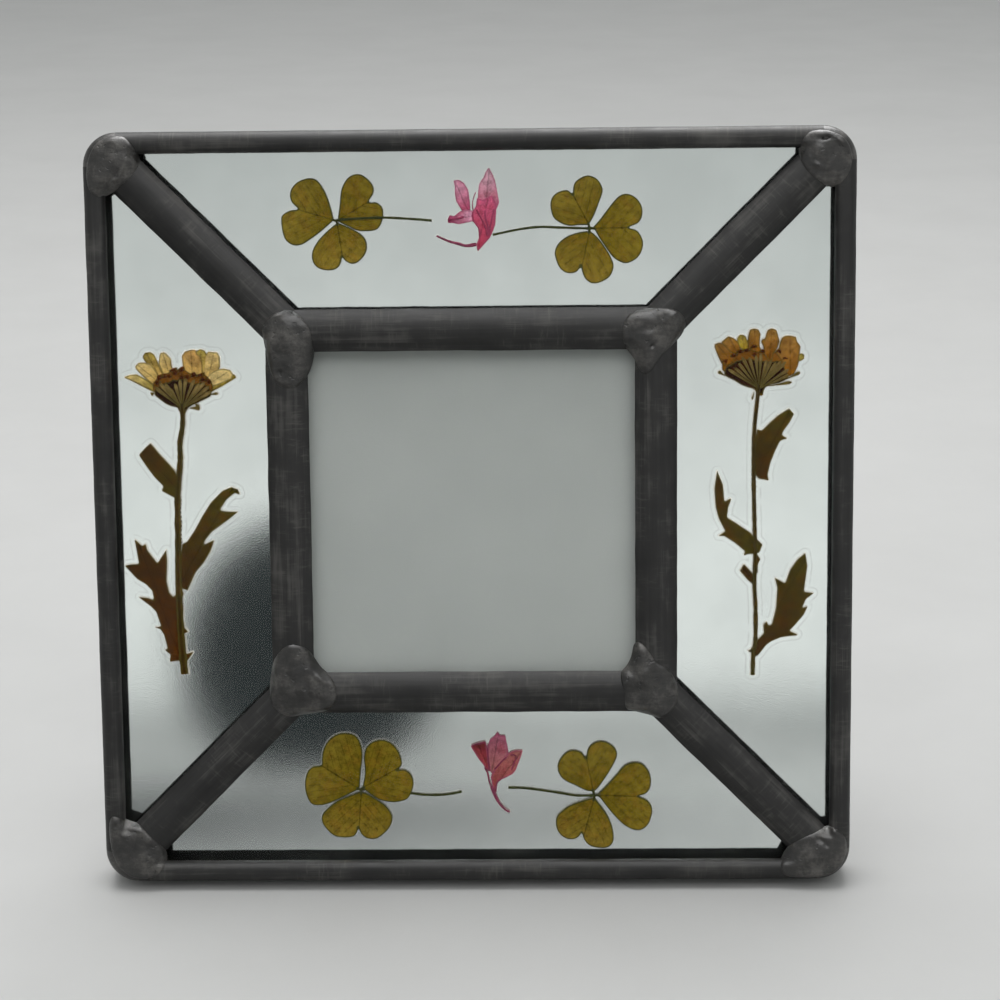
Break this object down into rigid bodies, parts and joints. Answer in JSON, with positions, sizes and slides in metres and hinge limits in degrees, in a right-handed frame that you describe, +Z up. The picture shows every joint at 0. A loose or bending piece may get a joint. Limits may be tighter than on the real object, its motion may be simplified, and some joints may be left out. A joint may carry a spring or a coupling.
{
  "type": "pressed flower photo frame",
  "caption": "Square leaded-glass photo frame with pressed plants sealed in its border panels, leaning back on a hinged strut.",
  "frame": {"origin": "middle of the footprint, on the surface that the frame stands on", "axes": "+Z up, the window faces -Y and leans back towards +Y, +X to the right seen from the front"},
  "size_m": [0.1142, 0.0446, 0.1129],
  "materials": {
    "came_metal": "dark pewter patina on lead, satin, drawn lengthwise",
    "solder": "patinated solder, satin, lumpy",
    "clear_glass": "clear, polished",
    "satin_mirror": "silver with a fine satin grain, painted behind",
    "clover_leaf": "dried leaf, matt",
    "pink_petal": "dried petal, thin and matt",
    "daisy": "dried petals, bracts and leaves, matt",
    "card_paper": "plain coated card",
    "velvet_board": "black flocked board",
    "hinge_steel": "nickel plated, brushed"
  },
  "bodies": {
    "frame": {"outer_came_top": "came_metal", "outer_came_left": "came_metal", "outer_came_bottom": "came_metal", "outer_came_right": "came_metal", "window_came_top": "came_metal", "window_came_left": "came_metal", "window_came_bottom": "came_metal", "window_came_right": "came_metal", "diagonal_came_top_right": "came_metal", "diagonal_came_top_left": "came_metal", "diagonal_came_bottom_left": "came_metal", "diagonal_came_bottom_right": "came_metal", "outer_joint_front_top_right": "solder", "outer_joint_back_top_right": "solder", "window_joint_front_top_right": "solder", "window_joint_back_top_right": "solder", "outer_joint_front_top_left": "solder", "outer_joint_back_top_left": "solder", "window_joint_front_top_left": "solder", "window_joint_back_top_left": "solder", "outer_joint_front_bottom_left": "solder", "outer_joint_back_bottom_left": "solder", "window_joint_front_bottom_left": "solder", "window_joint_back_bottom_left": "solder", "outer_joint_front_bottom_right": "solder", "outer_joint_back_bottom_right": "solder", "window_joint_front_bottom_right": "solder", "window_joint_back_bottom_right": "solder", "clear_pane_top": "clear_glass", "clear_pane_left": "clear_glass", "clear_pane_bottom": "clear_glass", "clear_pane_right": "clear_glass", "window_glass": "clear_glass", "mirror_pane_top": "satin_mirror", "mirror_pane_left": "satin_mirror", "mirror_pane_bottom": "satin_mirror", "mirror_pane_right": "satin_mirror", "clover_top_left": "clover_leaf", "clover_top_right": "clover_leaf", "clover_bottom_left": "clover_leaf", "clover_bottom_right": "clover_leaf", "pink_flower_top": "pink_petal", "pink_flower_bottom": "pink_petal", "daisy_left": "daisy", "daisy_right": "daisy", "insert_card": "card_paper", "backing_board": "velvet_board", "backing_clip_upper_left": "hinge_steel", "backing_clip_upper_right": "hinge_steel", "backing_clip_lower_left": "hinge_steel", "backing_clip_lower_right": "hinge_steel", "hinge_leaf": "hinge_steel", "hinge_pin": "hinge_steel", "hinge_rivet_left": "hinge_steel", "hinge_rivet_right": "hinge_steel"},
    "strut": {"strut": "velvet_board"}
  },
  "joints": [
    {"name": "strut_hinge", "type": "hinge", "parent": "frame", "child": "strut", "pos_m": [0, 0.00369, 0.07469], "axis": [-1, 0, 0], "range_deg": [0, 26]}
  ]
}
